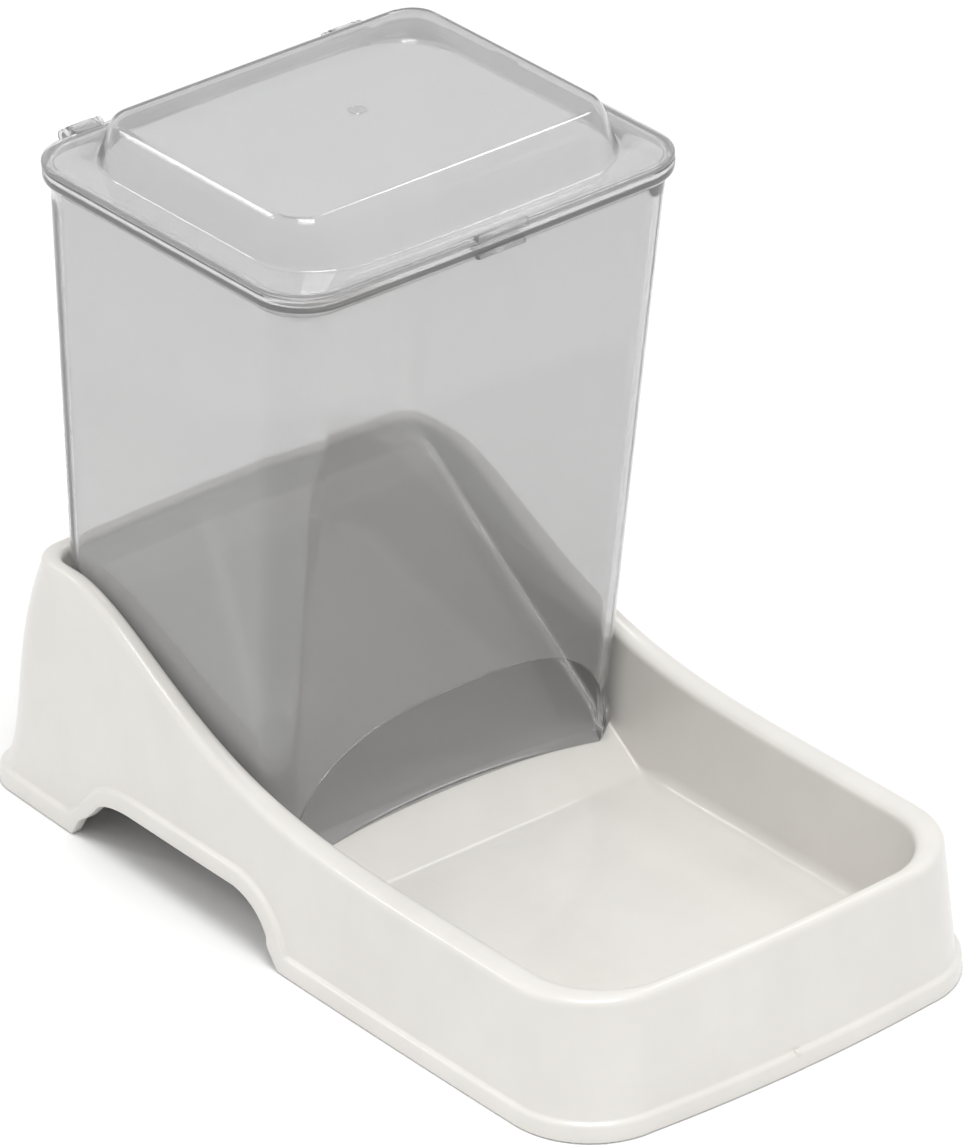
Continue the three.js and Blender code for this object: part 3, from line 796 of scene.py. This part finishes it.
def gate_mark():
    """The moulding gate's scar: a low ring with a dot in its middle, on the lid's top."""
    centre_y = (DOME_TOP[0] + DOME_TOP[1]) / 2
    level = HEIGHT - CROWN + 0.3
    profile = [
        (0.0, 0.26), (0.5, 0.24), (0.9, 0.05), (2.4, 0.0),
        (2.8, 0.22), (3.3, 0.29), (3.8, 0.22), (4.3, -0.25),
    ]
    turn = np.linspace(0, 2 * math.pi, MARK_COLUMNS)
    grid = np.stack([
        np.stack([r * np.cos(turn), centre_y + r * np.sin(turn), np.full(len(turn), level + h)], axis=-1)
        for r, h in profile
    ])
    return mesh_object("lid_gate_mark", [grid], mirror=False)


# ---- Hinge, tab and catch ----

def side_name(side):
    return "right" if side > 0 else "left"


def arc(centre, radius, start, end, count):
    turn = np.radians(np.linspace(start, end, count))
    return [(centre[0] + radius * math.cos(a), centre[1] + radius * math.sin(a)) for a in turn]


def knuckle(side):
    """A C-shaped hook round the pin, with its arm reaching back from the lid's edge."""
    arm_low, arm_high = LID_SEAT + 0.05, LID_LEDGE + 0.5
    shape = arc(HINGE, KNUCKLE_RADIUS, 118, -62, 22)
    shape += arc(HINGE, PIN_RADIUS + PIN_CLEARANCE, -50, 230, 30)
    shape += arc(HINGE, KNUCKLE_RADIUS, 242, 212, 5)
    shape += [(HINGE_Y - 4.2, arm_low), (HINGE_Y - 5.9, arm_low), (HINGE_Y - 5.9, arm_high)]
    x = side * PIN_X
    name = "lid_knuckle_" + side_name(side)
    return rounded_solid(name, shape, x - KNUCKLE_HALF, x + KNUCKLE_HALF, EDGE_ROUND)


def ear(side, offset):
    """One of the two ears that hold a pin, rooted in the hopper's rim."""
    x = side * PIN_X + offset
    shape = arc(HINGE, EAR_RADIUS, 175, -50, 26)
    shape += [(HINGE_Y + 0.4, HINGE_Z - 4.1), (368.4, EAR_FOOT), (EAR_ROOT, EAR_FOOT)]
    shape += [(EAR_ROOT, HOPPER_TOP - 0.3), (369.0, HOPPER_TOP - 0.1)]
    name = "hopper_ear_" + side_name(side) + ("_outer" if offset * side > 0 else "_inner")
    return rounded_solid(name, shape, x - EAR_HALF, x + EAR_HALF, EDGE_ROUND)


def pin(side):
    """The pin between two ears. Its ends all but touch them."""
    shape = arc(HINGE, PIN_RADIUS, 0, 345, 24)
    x = side * PIN_X
    reach = EAR_OFFSET - EAR_HALF - 0.02
    return rounded_solid("hopper_pin_" + side_name(side), shape, x - reach, x + reach, 0.02, 1)


def finger_tab():
    """The tab at the front of the lid, drawn in profile."""
    shape = [
        (186.0, LID_SEAT + 0.3), (186.0, LID_LEDGE + 2.4), (186.7, LID_LEDGE + 2.75),
        (189.4, LID_LEDGE + 1.4), (189.5, LID_LEDGE + 0.1), (188.6, LID_LEDGE + 0.03),
        (187.6, LID_SEAT + 0.9), (187.5, LID_SEAT + 0.3),
    ]
    return rounded_solid("lid_finger_tab", shape, -13.4, 13.4, 0.35)


def catch_lug():
    """The lug under the tab, on the front of the hopper's rim, drawn in profile."""
    shape = [(188.0, 302.8), (186.4, 302.5), (186.3, 301.0), (188.2, 300.3), (190.3, 300.5), (188.9, 302.6)]
    return rounded_solid("hopper_catch_lug", shape, -12.4, 12.4, EDGE_ROUND)


# ---- Materials ----

def new_material(name):
    material = bpy.data.materials.new(name)
    material.use_nodes = True
    nodes = material.node_tree.nodes
    links = material.node_tree.links
    return material, nodes, links, nodes["Principled BSDF"], nodes["Material Output"]


def noise(nodes, links, scale, detail=3.0, roughness=0.55, stretch=(1, 1, 1)):
    place = nodes.new("ShaderNodeTexCoord")
    mapping = nodes.new("ShaderNodeMapping")
    mapping.inputs["Scale"].default_value = stretch
    texture = nodes.new("ShaderNodeTexNoise")
    texture.inputs["Scale"].default_value = scale
    texture.inputs["Detail"].default_value = detail
    texture.inputs["Roughness"].default_value = roughness
    links.new(place.outputs["Object"], mapping.inputs["Vector"])
    links.new(mapping.outputs["Vector"], texture.inputs["Vector"])
    return texture


def ramp_between(nodes, links, source, low, high, position=(0.35, 0.65)):
    ramp = nodes.new("ShaderNodeValToRGB")
    ramp.color_ramp.elements[0].position = position[0]
    ramp.color_ramp.elements[1].position = position[1]
    ramp.color_ramp.elements[0].color = (*low, 1)
    ramp.color_ramp.elements[1].color = (*high, 1)
    links.new(source, ramp.inputs["Fac"])
    return ramp.outputs["Color"]


def bump(nodes, links, sources, shader):
    """Chains height textures, each with its depth in metres, into the shader's normal."""
    previous = None
    for texture, depth in sources:
        node = nodes.new("ShaderNodeBump")
        node.inputs["Strength"].default_value = 1.0
        node.inputs["Distance"].default_value = depth
        links.new(texture.outputs["Fac"], node.inputs["Height"])
        if previous is not None:
            links.new(previous.outputs["Normal"], node.inputs["Normal"])
        previous = node
    links.new(previous.outputs["Normal"], shader.inputs["Normal"])


def pearl_plastic():
    material, nodes, links, shader, _ = new_material("pearl_plastic")
    cloud = noise(nodes, links, 22, 4, 0.6, (1, 1, 0.8))
    grain = noise(nodes, links, 2600, 2, 0.5)
    ripple = noise(nodes, links, 90, 2, 0.5, (1, 1, 0.6))
    colour = ramp_between(nodes, links, cloud.outputs["Fac"], (0.685, 0.665, 0.63), (0.72, 0.70, 0.665))
    links.new(colour, shader.inputs["Base Color"])
    rough = ramp_between(nodes, links, cloud.outputs["Fac"], (0.30,) * 3, (0.37,) * 3)
    links.new(rough, shader.inputs["Roughness"])
    shader.inputs["Coat Weight"].default_value = 0.35
    shader.inputs["Coat Roughness"].default_value = 0.10
    shader.inputs["IOR"].default_value = 1.48
    bump(nodes, links, [(ripple, 0.00006), (grain, 0.000012)], shader)
    return material


def smoky_plastic():
    """Grey clear plastic, darker where it is seen edge on. Lamps shine through it as through a pane."""
    material, nodes, links, shader, output = new_material("smoky_plastic")
    ripple = noise(nodes, links, 14, 2, 0.4, (1, 1, 0.5))
    facing = nodes.new("ShaderNodeLayerWeight")
    facing.inputs["Blend"].default_value = 0.5
    colour = ramp_between(nodes, links, facing.outputs["Facing"], (0.795,) * 3, (0.69,) * 3, (0.5, 1.0))
    links.new(colour, shader.inputs["Base Color"])
    shader.inputs["Transmission Weight"].default_value = 0.86
    shader.inputs["Roughness"].default_value = 0.045
    shader.inputs["IOR"].default_value = 1.49
    bump(nodes, links, [(ripple, 0.00002)], shader)
    clear = nodes.new("ShaderNodeBsdfTransparent")
    clear.inputs["Color"].default_value = (0.80, 0.80, 0.802, 1)
    path = nodes.new("ShaderNodeLightPath")
    choose = nodes.new("ShaderNodeMixShader")
    links.new(path.outputs["Is Shadow Ray"], choose.inputs[0])
    links.new(shader.outputs["BSDF"], choose.inputs[1])
    links.new(clear.outputs["BSDF"], choose.inputs[2])
    links.new(choose.outputs["Shader"], output.inputs["Surface"])
    return material


def floor_material():
    material, nodes, links, shader, _ = new_material("studio_floor")
    soft = noise(nodes, links, 3, 2, 0.5)
    colour = ramp_between(nodes, links, soft.outputs["Fac"], (0.90, 0.90, 0.90), (0.92, 0.92, 0.92))
    links.new(colour, shader.inputs["Base Color"])
    shader.inputs["Roughness"].default_value = 0.9
    shader.inputs["Specular IOR Level"].default_value = 0.1
    return material


# ---- Assembly ----

def place(piece, body, material, slot_name, *nodes):
    piece.data.materials.clear()
    piece.data.materials.append(material)
    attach(piece, body)
    if nodes:
        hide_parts(*nodes)


pearl = pearl_plastic()
smoky = smoky_plastic()
place(mesh_object("base_shell", base_grids()), "base", pearl, "pearl_plastic", "base")
place(mesh_object("hopper_shell", hopper_grids()), "hopper", smoky, "smoky_plastic", "hopper")
place(mesh_object("lid_shell", lid_grids()), "lid", smoky, "smoky_plastic", "lid")
place(gate_vestige(), "base", pearl, "pearl_plastic")
place(gate_mark(), "lid", smoky, "smoky_plastic")
place(finger_tab(), "lid", smoky, "smoky_plastic")
place(catch_lug(), "hopper", smoky, "smoky_plastic")
for side in (-1, 1):
    place(knuckle(side), "lid", smoky, "smoky_plastic")
    place(pin(side), "hopper", smoky, "smoky_plastic")
    for offset in (-EAR_OFFSET, EAR_OFFSET):
        place(ear(side, offset), "hopper", smoky, "smoky_plastic")


# ---- Studio ----

STUDIO_SIZE = 12.0
STUDIO_DROP = 0.0004
LIGHT_TARGET = Vector((0, 0, 0.14))
WORLD_STRENGTH = 0.76


def studio_floor():
    """A wide plane just under the object's foot."""
    bpy.ops.mesh.primitive_plane_add(size=STUDIO_SIZE, location=(0, 0, -STUDIO_DROP))
    floor = bpy.context.object
    floor.name = "studio_floor"
    floor.data.materials.append(floor_material())


def area_light(name, azimuth, elevation, distance, size, power):
    """A square softbox that faces the object. Azimuth 0 is in front of the bowl, 90 on its right."""
    a, e = math.radians(azimuth), math.radians(elevation)
    direction = Vector((math.sin(a) * math.cos(e), -math.cos(a) * math.cos(e), math.sin(e)))
    lamp = bpy.data.lights.new(name, "AREA")
    lamp.shape = "SQUARE"
    lamp.size = size
    lamp.energy = power
    holder = bpy.data.objects.new(name, lamp)
    holder.location = LIGHT_TARGET + direction * distance
    holder.rotation_euler = (-direction).to_track_quat("-Z", "Y").to_euler()
    bpy.context.scene.collection.objects.link(holder)


def studio_world():
    world = bpy.data.worlds.new("studio")
    world.use_nodes = True
    background = world.node_tree.nodes["Background"]
    background.inputs["Color"].default_value = (1, 1, 1, 1)
    background.inputs["Strength"].default_value = WORLD_STRENGTH
    bpy.context.scene.world = world


CAMERA_X = -2.2983
CAMERA_FROM_FRONT = -2.5143
CAMERA_Z = 2.1336
CAMERA_AZIMUTH = -40.255
CAMERA_ELEVATION = 29.192
CAMERA_LENS = 310.6


def camera():
    view = bpy.data.cameras.new("camera")
    view.sensor_width = 36
    view.lens = CAMERA_LENS
    view.clip_end = 50
    holder = bpy.data.objects.new("camera", view)
    holder.location = (CAMERA_X, CAMERA_FROM_FRONT - LENGTH / 2 * MM, CAMERA_Z)
    holder.rotation_euler = (math.pi / 2 - math.radians(CAMERA_ELEVATION), 0, math.radians(CAMERA_AZIMUTH))
    bpy.context.scene.collection.objects.link(holder)
    bpy.context.scene.camera = holder


studio_floor()
studio_world()
area_light("overhead", azimuth=-30, elevation=72, distance=2.0, size=0.9, power=24)
area_light("front", azimuth=62, elevation=24, distance=2.6, size=1.5, power=2.0)
area_light("rear_left", azimuth=-144, elevation=34, distance=2.4, size=0.4, power=5)
area_light("rear_right", azimuth=116, elevation=50, distance=2.4, size=0.4, power=3.5)
camera()
bpy.context.scene.view_settings.view_transform = "Standard"
bpy.context.scene.cycles.caustics_refractive = False
